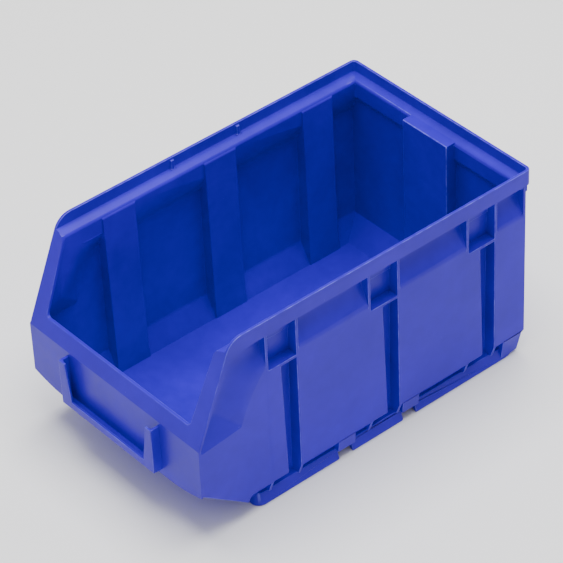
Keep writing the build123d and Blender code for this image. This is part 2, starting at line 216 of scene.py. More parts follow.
def tube(rows):
    """Solid through a list of closed rings with equal numbers of points."""
    n = len(rows[0])
    verts = [p for row in rows for p in row]
    faces = [list(range(n))[::-1], [len(verts) - n + i for i in range(n)]]
    for r in range(len(rows) - 1):
        a, b = r * n, (r + 1) * n
        faces += [[a + i, a + (i + 1) % n, b + (i + 1) % n, b + i] for i in range(n)]
    return mesh_object("tube", verts, faces)


def prism(points, place, a, b):
    """Solid between two copies of a 2-D outline; place(u, v, w) gives the 3-D point."""
    return tube([[place(u, v, w) for u, v in points] for w in (a, b)])


def prism_x(points, x0, x1):
    return prism(points, lambda y, z, x: (x, y, z), x0, x1)


def prism_y(points, y0, y1):
    return prism(points, lambda x, z, y: (x, y, z), y0, y1)


def prism_z(points, z0, z1):
    return prism(points, lambda x, y, z: (x, y, z), z0, z1)


def block(x0, x1, y0, y1, z0, z1):
    return prism_z([(x0, y0), (x1, y0), (x1, y1), (x0, y1)], z0, z1)


def rounded(points, radii, step=15.0):
    """Closed 2-D outline with its corners turned into arcs; radii maps a corner's index to its radius."""
    out = []
    n = len(points)
    for i, p in enumerate(points):
        r = radii.get(i, 0) if isinstance(radii, dict) else radii
        if not r:
            out.append(p)
            continue
        p = Vector(p)
        a = Vector(points[i - 1]) - p
        b = Vector(points[(i + 1) % n]) - p
        la, lb = a.length, b.length
        a.normalize()
        b.normalize()
        half = math.acos(max(-1, min(1, a.dot(b)))) / 2
        t = min(r / math.tan(half), la * 0.49, lb * 0.49)
        r = t * math.tan(half)
        centre = p + (a + b).normalized() * (r / math.sin(half))
        start, end = p + a * t - centre, p + b * t - centre
        turn = math.atan2(start.x * end.y - start.y * end.x, start.dot(end))
        k = max(2, int(math.ceil(abs(math.degrees(turn)) / step)))
        for j in range(k + 1):
            c, s = math.cos(turn * j / k), math.sin(turn * j / k)
            q = centre + Vector((start.x * c - start.y * s, start.x * s + start.y * c))
            out.append((q.x, q.y))
    return out


def boolean(base, others, how):
    """Result of a boolean of one object with several, as a new mesh object."""
    scene = bpy.context.scene.collection
    group = bpy.data.collections.new("operands")
    scene.children.link(group)
    scene.objects.link(base)
    for o in others:
        group.objects.link(o)
    mod = base.modifiers.new("boolean", "BOOLEAN")
    mod.operation = how
    mod.solver = SOLVER
    mod.operand_type = "COLLECTION"
    mod.collection = group
    bpy.context.view_layer.update()
    depsgraph = bpy.context.evaluated_depsgraph_get()
    mesh = bpy.data.meshes.new_from_object(base.evaluated_get(depsgraph))
    for o in list(others) + [base]:
        bpy.data.objects.remove(o)
    bpy.data.collections.remove(group)
    return bpy.data.objects.new("solid", mesh)


def mirrored(obj):
    """Copy of an object mirrored to the other side of the bin."""
    copy = obj.copy()
    copy.data = obj.data.copy()
    copy.data.transform(Matrix.Diagonal((-1, 1, 1, 1)))
    copy.data.flip_normals()
    return copy


# ---- shared lines of the bin -----------------------------------------------------------------
def slope_y(z):
    """Y of the sloping front face of the flanges at height z."""
    return FRONT_Y + SLOPE * (z - FOLD_Z)


def side_x(y):
    """X of the outer face at the front corner, which widens from the crease to the front wall."""
    return OUTER_X + (RIM_X - OUTER_X) * (CREASE_Y - y) / (CREASE_Y - FRONT_IN_Y)


def front_arc(x):
    """Height of the front wall's lower edge, which curves up to both corners."""
    run = max(0.0, abs(x) - FRONT_ARC_X) / (RIM_X - FRONT_ARC_X)
    return FRONT_LOW_Z + (FRONT_CORNER_Z - FRONT_LOW_Z) * min(run, 1.0) ** 2


def underside_z(x, y):
    """Height of the lower surface, which slopes from the front wall down to the floor plate."""
    t = min(1.0, max(0.0, (y - FRONT_IN_Y) / (FLOOR_FRONT_Y - FRONT_IN_Y)))
    return front_arc(x) * (1 - t) + FLOOR_LOW_Z * t


def arc_columns(half):
    """X stations across the front, closer together where its lower edge curves."""
    right = [FRONT_ARC_X + (RIM_X - FRONT_ARC_X) * i / ARC_STEPS for i in range(ARC_STEPS)]
    right = [x for x in right if x < half - 1] + [half]
    return [-x for x in reversed(right)] + right


# ---- rim -------------------------------------------------------------------------------------
def rim_solids():
    """Upright lip, and under it the ledge with the inset band of the side and rear walls."""
    ahead = FRONT_Y - 5
    inner = REAR_Y - WALL
    plan = rounded([(-RIM_X, ahead), (-RIM_X, REAR_Y), (RIM_X, REAR_Y), (RIM_X, ahead), (LIP_X, ahead),
                    (LIP_X, inner), (-LIP_X, inner), (-LIP_X, ahead)],
                   {1: RIM_REAR_R, 2: RIM_REAR_R, 5: 2.0, 6: 2.0})
    out = [prism_z(plan, BAND_TOP_Z, HEIGHT)]
    out.append(block(HOOK_END_X - RIM_X, RIM_X - HOOK_END_X, inner, REAR_Y, HOOK_Z, BAND_TOP_Z + 1))
    top, edge_z, low = LEDGE_LIP_Z + 0.2, LEDGE_EDGE_Z - 0.45, LEDGE_LOW_Z + 0.17
    tuck = LIP_X + 0.7
    band = rounded([(tuck, top), (BAND_X, edge_z), (BAND_X, BAND_Z), (BAND_X + WALL, BAND_Z),
                    (BAND_X + WALL, BAND_TOP_Z), (tuck, low)], {1: LEDGE_R})
    ledge = rounded([(tuck, top), (BAND_X, edge_z), (BAND_X, BAND_TOP_Z - 2), (BAND_X + WALL, BAND_TOP_Z - 2),
                     (BAND_X + WALL, BAND_TOP_Z), (tuck, low)], {1: LEDGE_R})
    side = [prism_y(band, FRONT_Y, REAR_OUT_Y - 1.2), prism_y(ledge, REAR_IN_Y, inner + 0.5)]
    out += side + [mirrored(o) for o in side]
    tuck = inner + 0.7
    rear = rounded([(tuck, top), (REAR_BAND_Y, edge_z), (REAR_BAND_Y, BAND_Z),
                    (REAR_IN_Y + 0.5, BAND_Z - REAR_BAND_RUN),
                    (REAR_OUT_Y, BAND_Z - REAR_BAND_RUN), (REAR_OUT_Y, BAND_TOP_Z), (tuck, low)],
                   {1: LEDGE_R, 2: 2.0})
    out.append(prism_x(rear, -BAND_X - 0.5, BAND_X + 0.5))
    rear = rounded([(tuck, top), (REAR_BAND_Y, edge_z), (REAR_BAND_Y, BAND_TOP_Z - 2),
                    (REAR_OUT_Y, BAND_TOP_Z - 2),
                    (REAR_OUT_Y, BAND_TOP_Z), (tuck, low)], {1: LEDGE_R})
    out.append(prism_x(rear, -LIP_X - 0.5, LIP_X + 0.5))
    return out


def pip_solids():
    out = []
    for y in PIP_Y:
        out.append(block(LIP_X - PIP_DEPTH, LIP_X + 0.5, y - PIP_WIDTH / 2, y + PIP_WIDTH / 2, LEDGE_EDGE_Z,
                         PIP_TOP_Z))
    return out


# ---- side walls ------------------------------------------------------------------------------
def side_section():
    """Outline (x, z) of the side wall between posts."""
    points = [(BAND_X, BAND_Z + 6), (BAND_X, BAND_Z), (PANEL_X, PANEL_TOP_Z), (PANEL_X, RAMP_TOP_Z),
              (FLOOR_X, FLOOR_Z), (FLOOR_X, FLOOR_LOW_Z), (TOE_X, FLOOR_LOW_Z), (UNDERCUT_X, UNDERCUT_Z),
              (OUTER_X, UNDERCUT_Z), (OUTER_X, PANEL_TOP_Z), (BAND_X + WALL, BAND_Z),
              (BAND_X + WALL, BAND_Z + 6)]
    return rounded(points, {2: 9.0, 3: 5.0, 9: 9.0})


def post_solids(y):
    y0, y1 = y - POST_HALF, y + POST_HALF
    top_z, slant = BAND_TOP_Z + 0.9, (LEDGE_LIP_Z - LEDGE_EDGE_Z) / (LIP_X - BAND_X)
    levels = [(FLOOR_LOW_Z, POST_LOW_X, GUSSET_X, 0), (UNDERCUT_Z, POST_LOW_X + 0.1, OUTER_X, 0),
              (BAND_TOP_Z - 1.0, POST_TOP_X, OUTER_X, 0), (top_z, BAND_X + 0.8, OUTER_X, slant)]
    rows = []
    for z, front, back, lean in levels:
        inner = front + POST_SKIN
        plan = [(front, y0), (back, y0), (back, y0 + WALL), (inner, y0 + WALL), (inner, y1 - WALL),
                (back, y1 - WALL),
                (back, y1), (front, y1)]
        rows.append([(x, v, z + lean * (x - front)) for x, v in plan])
    out = [tube(rows)]
    out.append(block(POST_TOP_X + 1.0, OUTER_X, y0 + 0.5, y1 - 0.5, SHELF_Z - WALL, SHELF_Z))
    cover = [(y0 + 0.5, UNDERCUT_Z), (y0 + 0.5, SHELF_Z - 0.5), (y + COVER_TOP, SHELF_Z - 0.5),
             (y + COVER_LOW, UNDERCUT_Z)]
    out.append(prism_x(cover, PANEL_X, OUTER_X))
    return out


def smooth(t):
    return t * t * (3 - 2 * t)


def curve_points(points, count):
    """Points spread evenly along a spline through (y, z) points."""
    knots = [Vector(p) for p in points]
    knots = [2 * knots[0] - knots[1]] + knots + [2 * knots[-1] - knots[-2]]
    fine = []
    for i in range(1, len(knots) - 2):
        p0, p1, p2, p3 = knots[i - 1:i + 3]
        for j in range(SPLINE_STEPS):
            t = j / SPLINE_STEPS
            fine.append(0.5 * (2 * p1 + (p2 - p0) * t + (2 * p0 - 5 * p1 + 4 * p2 - p3) * t * t
                               + (3 * p1 - p0 - 3 * p2 + p3) * t ** 3))
    fine.append(knots[-2])
    length = [0.0]
    for a, b in zip(fine, fine[1:]):
        length.append(length[-1] + (b - a).length)
    out = []
    k = 0
    for i in range(count):
        want = length[-1] * i / (count - 1)
        while k < len(length) - 2 and length[k + 1] < want:
            k += 1
        t = (want - length[k]) / (length[k + 1] - length[k])
        q = fine[k].lerp(fine[k + 1], max(0, min(1, t)))
        out.append((q.x, q.y))
    return out


def tucked(p, q, step):
    """Outer and inner point of a sheet's edge hidden inside its neighbour, a step from p towards q."""
    run = Vector(q) - Vector(p)
    at = Vector(p) + run.normalized() * step
    return (at.x - WALL / 3, at.y, at.z), (at.x - 2 * WALL / 3, at.y, at.z)


def corner_solids():
    """Front corner of one side: recess behind the flange, facet, flush side, and the panel behind it."""
    y_end = POST_Y[0] - POST_HALF + 0.4
    x_band = BAND_X + WALL
    y_low = slope_y(RECESS_Z) + FLANGE_DEPTH + RECESS_BAND
    y_high = slope_y(BAND_Z) + FLANGE_DEPTH + RECESS_BAND
    count, depth = 17, 9
    band = [(y_end, BAND_Z + 1), (-76.0, BAND_Z + 1), (y_high + 2.0, BAND_Z - 1.2),
            (y_high - 4.0, BAND_Z - 11),
            (y_low, RECESS_Z)]
    panel = [(y_end, PANEL_TOP_Z - 1), (-74.0, 93.0), (-79.5, 85.5), (-84.8, 76.0), (CREASE_Y, FOLD_Z - 1.0)]
    k_line, c_line = curve_points(band, count), curve_points(panel, count)
    grid = []
    for i in range(count):
        (ya, za), (yb, zb) = k_line[i], c_line[i]
        ends = max(0.0, (i - count + 5) / 4)
        row = []
        for j in range(depth):
            t = j / (depth - 1)
            s = smooth(t) * (1 - ends) + t * ends
            row.append((x_band + (OUTER_X - x_band) * s, ya + (yb - ya) * t, za + (zb - za) * t))
        grid.append(row)
    k_end, c_end = grid[-1][0], grid[-1][-1]
    flange = (x_band, slope_y(RECESS_Z) + FLANGE_DEPTH - 0.3, RECESS_Z)
    corner = (side_x(FRONT_IN_Y), FRONT_IN_Y, FOLD_Z - 3.0)
    # recess, with its edges hidden in the band, the panel and the facet
    outer, inner = [], []
    for i, row in enumerate(grid):
        ahead = tucked(row[0], (x_band, row[0][1] - 5, row[0][2] + 5), TUCK)
        t_next = c_line[min(i + 1, count - 1)], c_line[max(i - 1, 0)]
        along = Vector((t_next[0][0] - t_next[1][0], t_next[0][1] - t_next[1][1])).normalized()
        behind = tucked(row[-1], (OUTER_X, row[-1][1] - along.y * 5, row[-1][2] + along.x * 5), TUCK)
        outer.append([ahead[0]] + row + [behind[0]])
        inner.append([ahead[1]] + [(x - WALL, y, z) for x, y, z in row] + [behind[1]])
    last_outer, last_inner = [], []
    for j, p in enumerate(outer[-1]):
        t = min(1.0, max(0.0, (j - 1) / (depth - 1)))
        q = Vector(flange).lerp(Vector(corner), t)
        a, b = tucked(Vector(k_end).lerp(Vector(c_end), t), q, TUCK)
        last_outer.append(a)
        last_inner.append(b)
    out = [shell(outer + [last_outer], inner + [last_inner])]
    # inset band above and ahead of the recess
    flat = [(slope_y(BAND_Z + 4) + 0.8, BAND_Z + 4), (y_end, BAND_Z + 4)] + k_line
    flat.append((slope_y(RECESS_Z) + 0.8, RECESS_Z))
    out.append(prism_x(flat, BAND_X, x_band))
    # facet below the recess
    low_row = [(RIM_X - 0.1, FRONT_IN_Y - 1.1, FOLD_Z - 3.05), corner, c_end]
    top_row = [(x_band, flange[1] - 1.0, RECESS_Z), flange, k_end]
    out.append(shell([low_row, top_row], [[(x - WALL, y, z) for x, y, z in row] for row in (low_row,
                                                                                            top_row)]))
    # flush side, tucked under the facet
    hidden = [tucked(p, q, TUCK) for p, q in zip(low_row, top_row)]
    bottom = [(x, y, underside_z(x, y) - 2) for x, y, z in low_row]
    outer = [bottom, low_row, [h[0] for h in hidden]]
    inner = [[(x - WALL, y, z) for x, y, z in row] for row in (bottom, low_row)] + [[h[1] for h in hidden]]
    for row, back, depth in [(r, r[-1], WALL / 3) for r in outer] + [(r, r[-1], 2 * WALL / 3) for r in inner]:
        row.append((OUTER_X - depth, CREASE_Y + TUCK, back[2]))
    out.append(shell(outer, inner))
    # panel behind the crease, and the ramp inside it
    flat = c_line + [(CREASE_Y, 5.0), (y_end, 5.0)]
    out.append(prism_x(flat, PANEL_X, OUTER_X))
    tuck = PANEL_X + 1.4
    rise = (RAMP_TOP_Z - FLOOR_Z) / (PANEL_X - FLOOR_X) * (tuck - FLOOR_X)
    ramp = [(tuck, FLOOR_Z + rise), (FLOOR_X, FLOOR_Z), (FLOOR_X, FLOOR_LOW_Z - 1), (tuck, FLOOR_LOW_Z - 1)]
    out.append(prism_y(ramp, FRONT_IN_Y + 1, y_end))
    return out


def shell(outer, inner):
    """Closed sheet between a grid of outer points and the matching grid of inner points."""
    rows, cols = len(outer), len(outer[0])
    verts = [p for row in outer for p in row] + [p for row in inner for p in row]
    m = rows * cols
    faces = []
    for r in range(rows - 1):
        for c in range(cols - 1):
            a, b, d, e = r * cols + c, r * cols + c + 1, (r + 1) * cols + c + 1, (r + 1) * cols + c
            faces += [[a, b, d, e], [m + e, m + d, m + b, m + a]]
    rim = [c for c in range(cols)] + [r * cols + cols - 1 for r in range(1, rows)]
    rim += [(rows - 1) * cols + c for c in range(cols - 2, -1, -1)] + [r * cols for r in range(rows - 2, 0,
                                                                                               -1)]
    faces += [[rim[i], rim[(i + 1) % len(rim)], m + rim[(i + 1) % len(rim)],
               m + rim[i]] for i in range(len(rim))]
    return mesh_object("shell", verts, faces)


def wall_solids():
    gaps = [(POST_Y[0] + POST_HALF - 0.5, POST_Y[1] - POST_HALF + 0.5),
            (POST_Y[1] + POST_HALF - 0.5, POST_Y[2] - POST_HALF + 0.5),
            (POST_Y[2] + POST_HALF - 0.5, REAR_OUT_Y - 1.2)]
    return corner_solids() + [prism_y(side_section(), a, b) for a, b in gaps]


def hood_solids():
    """Fillings of the undercut over the stacking notches and at the rear corner."""
    section = [(TOE_X - 1, FLOOR_LOW_Z - 0.3), (HOOD_LOW_X, FLOOR_LOW_Z - 0.3),
               (OUTER_X - 0.2, UNDERCUT_Z + 0.5),
               (UNDERCUT_X - 1, UNDERCUT_Z + 0.5)]
    hoods = [prism_y(section, y - NOTCH_HALF - 1.2, y + NOTCH_HALF + 1.2) for y in PIP_Y]
    rows = []
    for z, x, y, r in ((1.6, FOOT_X - 0.3, FOOT_REAR_Y - 0.3, FOOT_REAR_R - 0.3),
                       (UNDERCUT_Z + 0.5, OUTER_X - 0.1, REAR_OUT_Y - 0.1, 2.0)):
        corner = [(CORNER_X, CORNER_Y), (x, CORNER_Y), (x, y), (CORNER_X, y)]
        rows.append([(u, v, z) for u, v in rounded(corner, {2: r}, 11.0)])
    return hoods + [tube(rows)]


# ---- front, floor and rear -------------------------------------------------------------------
def front_solids():
    wall = prism_y([(x, front_arc(x) - 2) for x in arc_columns(RIM_X)] + [(RIM_X, FOLD_Z + 2),
                                                                          (-RIM_X, FOLD_Z + 2)],
                   FRONT_Y, FRONT_IN_Y)
    right = [(RIM_X, FOLD_Z + 0.5), (RIM_X, BAND_TOP_Z + 1.5), (LIP_X + 0.5, LEDGE_LIP_Z - 0.6),
             (BAND_X + 1.0, BAND_TOP_Z + 1.0), (FLANGE_TOP_X, BAND_TOP_Z - 1.0),
             (FLANGE_LOW_X + 0.6, LIP_TOP_Z)]
    outline = rounded(right + [(-x, z) for x, z in reversed(right)], {5: 3.0, 6: 3.0})
    surround = tube([[(x, slope_y(z) + depth, z) for x, z in outline] for depth in (-1, FLANGE_DEPTH)])
    columns = arc_columns(OUTER_X - 0.6)
    thick = FLOOR_Z - FLOOR_LOW_Z
    rows = []
    for y in (FRONT_IN_Y - 0.8, FRONT_IN_Y, FLOOR_FRONT_Y):
        rows.append([(x, y, underside_z(x, y) - 1.5) for x in columns]
                    + [(x, y, underside_z(x, y) + thick) for x in reversed(columns)])
    floor = block(-FLOOR_X - 1, FLOOR_X + 1, FLOOR_FRONT_Y - 1.0, REAR_FLOOR_Y + 0.5, FLOOR_LOW_Z - 1,
                  FLOOR_Z)
    return [wall, surround, tube(rows), floor]


def rear_solids():
    half = REAR_POST_HALF
    out = [block(half - 1, OUTER_X, REAR_IN_Y, REAR_OUT_Y, UNDERCUT_Z, BAND_TOP_Z + 0.4),
           block(-OUTER_X, 1 - half, REAR_IN_Y, REAR_OUT_Y, UNDERCUT_Z, BAND_TOP_Z + 0.4),
           block(-half, half, REAR_IN_Y - 0.5, REAR_OUT_Y, UNDERCUT_Z, REAR_RAMP_Z)]
    plan = [(-half, REAR_OUT_Y), (-half, REAR_POST_Y), (half, REAR_POST_Y), (half, REAR_OUT_Y),
            (half - WALL, REAR_OUT_Y),
            (half - WALL, REAR_POST_Y + WALL), (WALL - half, REAR_POST_Y + WALL), (WALL - half, REAR_OUT_Y)]
    out.append(prism_z(plan, REAR_POST_LOW_Z, BAND_TOP_Z + 0.5))
    out.append(block(-half, half, REAR_POST_Y, REAR_BAND_Y + 1.5, BAND_TOP_Z, LEDGE_EDGE_Z - 0.1))
    drop = REAR_WEB_IN_Y - REAR_FLOOR_Y - 0.5
    ramp = [(REAR_IN_Y + 0.5, REAR_RAMP_Z + 0.5), (REAR_FLOOR_Y, FLOOR_Z), (REAR_FLOOR_Y - 0.5, FLOOR_LOW_Z),
            (REAR_FLOOR_Y + 0.5, FLOOR_LOW_Z), (REAR_WEB_IN_Y, FLOOR_LOW_Z + drop),
            (REAR_WEB_IN_Y, UNDERCUT_Z),
            (REAR_IN_Y + 0.5, UNDERCUT_Z)]
    right = [(66.6, 6), (68.6, 15), (72, 15.6), (72, 30)]
    inside = prism_y([(-x, z) for x, z in reversed(right)] + right, 100, 125)
    out.append(boolean(prism_x(ramp, -72, 72), [inside], "INTERSECT"))
    return out


def cutters():
    """Volumes outside the bin that trim its front, its underside and the undercut of its side walls."""
    arc = rounded([(FRONT_Y, FOLD_Z), (RIM_FRONT_Y, HEIGHT), (0, HEIGHT)], {1: RIM_FRONT_R}, 7.5)[1:-1]
    outline = [(FRONT_Y - 10, FOLD_Z), (FRONT_Y, FOLD_Z)] + arc
    outline += [(arc[-1][0], HEIGHT + 5), (FRONT_Y - 10, HEIGHT + 5)]
    ahead = prism_x(outline, -RIM_X - 5, RIM_X + 5)
    columns = [-RIM_X - 5] + arc_columns(RIM_X) + [RIM_X + 5]
    rows = []
    for y in (FRONT_Y - 5, FRONT_IN_Y, FLOOR_FRONT_Y, REAR_Y + 5):
        rows.append([(x, y, -5.0) for x in (-RIM_X - 5, RIM_X + 5)]
                    + [(x, y, underside_z(x, y)) for x in reversed(columns)])
    below = tube(rows)
    y_step = FLOOR_FRONT_Y - 5.0
    toe = TOE_X - (UNDERCUT_X - TOE_X) / (UNDERCUT_Z - FLOOR_LOW_Z) * FLOOR_LOW_Z
    section = [(toe, 0.0), (UNDERCUT_X, UNDERCUT_Z), (RIM_X + 5, UNDERCUT_Z), (RIM_X + 5, 0.0)]
    n = len(section)
    verts = [(x, y_step + (z - 10.7) * 0.58, z) for x, z in section] + [(x, REAR_Y + 5, z) for x,
                                                                        z in section]
    faces = [list(range(n)), list(range(n, 2 * n))]
    faces += [[i, (i + 1) % n, n + (i + 1) % n, n + i] for i in range(n)]
    undercut = mesh_object("undercut", verts, faces)
    return [ahead, below, undercut, mirrored(undercut)]


def holder_solids():
    inner = HOLDER_X - HOLDER_WALL
    out = []
    for s in (1, -1):
        lip = [(HOLDER_X, HOLDER_LOW_Z), (HOLDER_X, HOLDER_TOP_Z), (HOLDER_LIP_TOP_X, HOLDER_TOP_Z),
               (HOLDER_LIP_LOW_X, HOLDER_LIP_Z), (HOLDER_LIP_LOW_X - 1, HOLDER_LOW_Z)]
        out.append(prism_y([(s * x, z) for x, z in lip], HOLDER_Y, HOLDER_Y + HOLDER_WALL))
        x0, x1 = sorted((s * inner, s * HOLDER_X))
        out.append(block(x0, x1, HOLDER_Y + 0.8, FRONT_Y + 0.5, HOLDER_LOW_Z, HOLDER_TOP_Z))
    out.append(block(-HOLDER_LIP_LOW_X - 0.5, HOLDER_LIP_LOW_X + 0.5, HOLDER_Y, HOLDER_Y + HOLDER_WALL,
                     HOLDER_LOW_Z, HOLDER_LIP_Z))
    out.append(block(-inner - 0.5, inner + 0.5, HOLDER_Y + 0.8, FRONT_Y + 0.5,
                     HOLDER_LOW_Z, HOLDER_LOW_Z + HOLDER_WALL))
    return out


def foot_outline(inset):
    x = FOOT_X - inset
    front, rear = FOOT_FRONT_Y + inset, FOOT_REAR_Y - inset
    return rounded([(-x, front), (x, front), (x, rear), (-x, rear)],
                   {0: max(FOOT_FRONT_R - inset, 1.0), 1: max(FOOT_FRONT_R - inset, 1.0),
                    2: FOOT_REAR_R - inset, 3: FOOT_REAR_R - inset}, 9.0)


def foot_solids():
    top = FLOOR_LOW_Z + 0.6
    section = [(FOOT_LIP, 0), (0, 0), (0, FOOT_EDGE_Z), (FOOT_INSET, top), (FOOT_TOP_LIP, top)]
    rings = [[(x, y, z) for x, y in foot_outline(inset)] for inset, z in section]
    n = len(rings[0])
    verts = [p for ring in rings for p in ring]
    faces = []
    for r in range(len(rings)):
        s = (r + 1) % len(rings)
        faces += [[r * n + i, r * n + (i + 1) % n, s * n + (i + 1) % n, s * n + i] for i in range(n)]
    ring = mesh_object("foot", verts, faces)
    cuts = []
    for y in PIP_Y:
        y0, y1 = y - NOTCH_HALF, y + NOTCH_HALF
        arch = rounded([(y0, -2), (y1, -2), (y1, NOTCH_TOP_Z), (y0, NOTCH_TOP_Z)], {2: 2.4, 3: 2.4})
        cuts.append(prism_x(arch, -RIM_X - 5, RIM_X + 5))
    web = block(-TOE_X - 1, TOE_X + 1, REAR_WEB_IN_Y, REAR_WEB_OUT_Y, FLOOR_LOW_Z - 1, UNDERCUT_Z + 0.5)
    return [boolean(ring, cuts, "DIFFERENCE"), web]


def both_sides(solids):
    return solids + [mirrored(o) for o in solids]


def whole_bin():
    skin = rim_solids() + both_sides(wall_solids()) + front_solids() + rear_solids()
    base = boolean(skin[0], skin[1:], "UNION")
    base = boolean(base, cutters(), "DIFFERENCE")
    details = [o for y in POST_Y for o in post_solids(y)] + pip_solids() + hood_solids()
    details = both_sides(details) + holder_solids() + foot_solids()
    return boolean(base, details, "UNION")


# ---- rounded edges ---------------------------------------------------------------------------
def cleaned(mesh, gap):
    """Merges points of a mesh that are closer than the gap, and drops the faces that leaves empty."""
    bm = bmesh.new()
    bm.from_mesh(mesh)
    bmesh.ops.remove_doubles(bm, verts=bm.verts, dist=gap * MM)
    bmesh.ops.dissolve_degenerate(bm, edges=bm.edges, dist=gap * MM / 2)
    bm.to_mesh(mesh)
    bm.free()


def edge_radius(edge):
    """Rounding width in mm of one edge of the moulding; 0 leaves it sharp."""
    if len(edge.link_faces) != 2 or edge.calc_face_angle(0) < math.radians(EDGE_ANGLE):
        return 0.0
    a, b = edge.verts[0].co / MM, edge.verts[1].co / MM
    along, mid = b - a, (a + b) / 2
    if along.length > POST_RUN and abs(along.z) > 0.99 * along.length:
        if abs(abs(mid.x) - POST_LOW_X - 0.7) < 1.1:
            return POST_EDGE_R
        if abs(mid.y - REAR_POST_Y) < 0.3:
            return REAR_POST_EDGE_R
    return EDGE_R


def bevel_once(obj, radii):
    """Mesh of the object with its edges rounded to the given widths, in edge order."""
    bm = bmesh.new()
    bm.from_mesh(obj.data)
    layer = bm.edges.layers.float.get("bevel_weight_edge") or bm.edges.layers.float.new("bevel_weight_edge")
    for edge, r in zip(bm.edges, radii):
        edge[layer] = r / REAR_POST_EDGE_R
    bm.to_mesh(obj.data)
    bm.free()
    mod = obj.modifiers.new("bevel", "BEVEL")
    mod.width = REAR_POST_EDGE_R * MM
    mod.segments = 2
    mod.limit_method = "WEIGHT"
    mod.use_clamp_overlap = False
    mod.miter_outer = "MITER_ARC"
    bpy.context.view_layer.update()
    mesh = bpy.data.meshes.new_from_object(obj.evaluated_get(bpy.context.evaluated_depsgraph_get()))
    obj.modifiers.clear()
    return mesh


def faults(mesh, tree):
    """Points of faces that a bevel has thrown off the surface or folded over."""
    out = []
    points = [v.co for v in mesh.vertices]
    for face in mesh.polygons:
        if face.area < FLAT_FACE:
            continue
        ring = [points[i] for i in face.vertices]
        tests = [(a + b) / 2 for a, b in zip(ring, ring[1:] + ring[:1])] + ring
        off = any(tree.find_nearest(p)[3] > MAX_OFF * MM for p in tests)
        if not off and len(ring) <= 4:
            near = tree.find_nearest_range(face.center, MAX_OFF * MM)
            off = bool(near) and all(n.dot(face.normal) < FOLDED_OVER for _, n, _, _ in near)
        if off:
            out += ring
    return out


def with_round_edges(obj):
    """Rounds the moulding's edges, leaving sharp those beside which the rounding would not fit."""
    cleaned(obj.data, MERGE_BEFORE)
    bpy.context.scene.collection.objects.link(obj)
    bm = bmesh.new()
    bm.from_mesh(obj.data)
    radii = [edge_radius(e) for e in bm.edges]
    ends = [(e.verts[0].co.copy(), e.verts[1].co.copy()) for e in bm.edges]
    tree = BVHTree.FromBMesh(bm)
    bm.free()
    for _ in range(BEVEL_TRIES):
        mesh = bevel_once(obj, radii)
        bad = faults(mesh, tree)
        if not bad:
            break
        kd = KDTree(len(bad))
        for i, p in enumerate(bad):
            kd.insert(p, i)
        kd.balance()
        for i, (a, b) in enumerate(ends):
            if radii[i] and min(kd.find(a)[2], kd.find(b)[2]) < FAULT_REACH * MM:
                radii[i] = 0.0
    cleaned(mesh, MERGE_AFTER)
    bpy.data.objects.remove(obj)
    return bpy.data.objects.new("moulding", mesh)


# ---- division of the moulding into its named zones -------------------------------------------
def slab(y0, y1, z0, z1, x0=-FAR_X, x1=FAR_X):
    return ("z", [(x0, y0), (x1, y0), (x1, y1), (x0, y1)], z0, z1)


def zone_solid(zone, side):
    """Solid of one zone; side -1 mirrors it to the left."""
    axis, points, a, b = zone
    solid = {"x": prism_x, "y": prism_y, "z": prism_z}[axis](points, a, b)
    return mirrored(solid) if side < 0 else solid


def flange_section(z0, z1):
    ahead, behind = -3.0, FLANGE_DEPTH + 0.5
    return [(slope_y(z0) + ahead, z0), (slope_y(z0) + behind, z0), (slope_y(z1) + behind, z1),
            (slope_y(z1) + ahead, z1)]


def ledge_z(x):
    """Height of the upper face of the ledge at x."""
    rise, run = LEDGE_LIP_Z + 0.65 - LEDGE_EDGE_Z, LIP_X + 0.7 - BAND_X
    return LEDGE_EDGE_Z - 0.45 + (x - BAND_X) * rise / run


